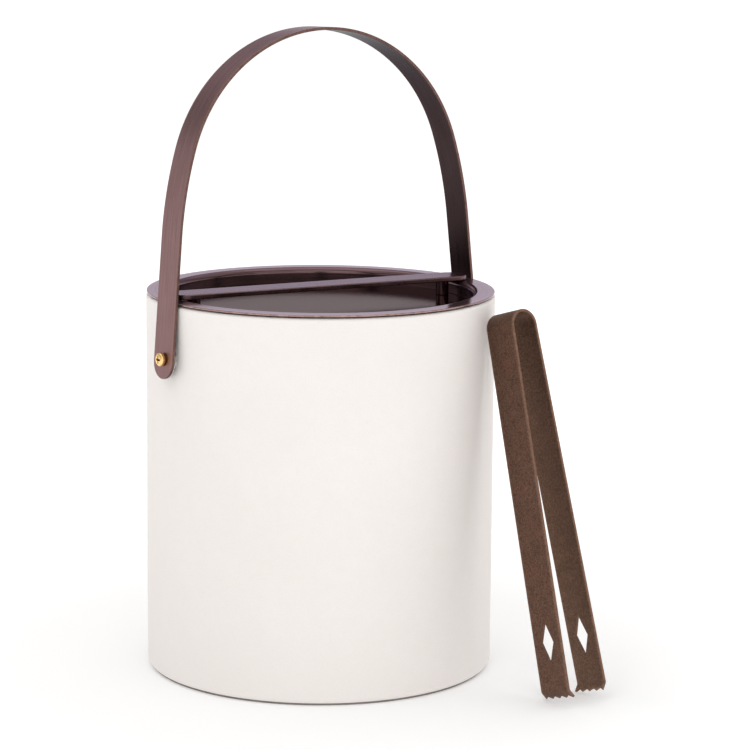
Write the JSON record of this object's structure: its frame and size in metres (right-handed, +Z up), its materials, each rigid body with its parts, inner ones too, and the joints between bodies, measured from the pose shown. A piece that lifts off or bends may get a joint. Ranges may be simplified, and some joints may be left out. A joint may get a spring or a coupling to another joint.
{
  "type": "ice bucket",
  "caption": "Round insulated ice bucket with a leather-look wall, metal liner and rim, arched strap handle, lift-off lid with a flat bar, and clawed tongs leaning on its side.",
  "frame": {"origin": "centre of the bucket's base pad, on the surface it stands on", "axes": "+Z up along the bucket's axis; +X along the axis of the handle's two pivot screws; the tongs lean on the -Y side, nearer +X"},
  "size_m": [0.1928, 0.2337, 0.3279],
  "materials": {
    "cream_leather": "cream faux leather, matt with a fine grain",
    "core_plastic": "moulded core tube",
    "board": "pressed board",
    "pad": "black base pad",
    "bronze_liner": "antique bronze plating, spun and brushed round",
    "bronze_strap": "antique bronze plating, brushed lengthwise",
    "bronze_lid": "antique bronze plating, brushed along the bar",
    "bronze_tongs": "mottled dark bronze, bead-blasted",
    "seal": "black sealing ring",
    "foam": "rigid white foam",
    "screw_steel": "zinc plated steel",
    "brass": "polished brass",
    "clear_plastic": "clear moulded plastic"
  },
  "bodies": {
    "bucket": {"wrap": "cream_leather", "core_tube": "core_plastic", "base_board": "board", "base_pad": "pad", "liner": "bronze_liner", "rim_seal": "seal", "foam_sleeve": "foam", "foam_disc": "foam", "pivot_screw_left": "brass", "pivot_screw_right": "brass", "pivot_spacer_left": "clear_plastic", "pivot_spacer_right": "clear_plastic", "pivot_washer_left": "screw_steel", "pivot_washer_right": "screw_steel", "pivot_nut_left": "screw_steel", "pivot_nut_right": "screw_steel"},
    "handle": {"handle_strap": "bronze_strap"},
    "lid": {"lid_disc": "bronze_lid", "lid_bar": "bronze_lid", "lid_standoff_left": "bronze_lid", "lid_standoff_right": "bronze_lid", "lid_screws": "screw_steel"},
    "tongs": {"tongs_rear_arm": "bronze_tongs"},
    "tongs_front": {"tongs_front_arm": "bronze_tongs"}
  },
  "joints": [
    {"name": "handle_swing", "type": "hinge", "parent": "bucket", "child": "handle", "pos_m": [0, 0, 0.1667], "axis": [1, 0, 0], "range_deg": [-140, 107]},
    {"name": "lid_lift", "type": "slide", "parent": "bucket", "child": "lid", "axis": [0, 0, 1], "range_m": [0, 0.022]},
    {"name": "tongs_away", "type": "slide", "parent": "bucket", "child": "tongs", "axis": [1, 0, 0], "range_m": [0, 0.12]},
    {"name": "tongs_squeeze", "type": "hinge", "parent": "tongs", "child": "tongs_front", "pos_m": [0.05963, -0.08294, 0.18095], "axis": [0.0804, -0.9574, 0.2773], "range_deg": [0, 5.5], "stiffness_Nm_per_rad": 3}
  ]
}
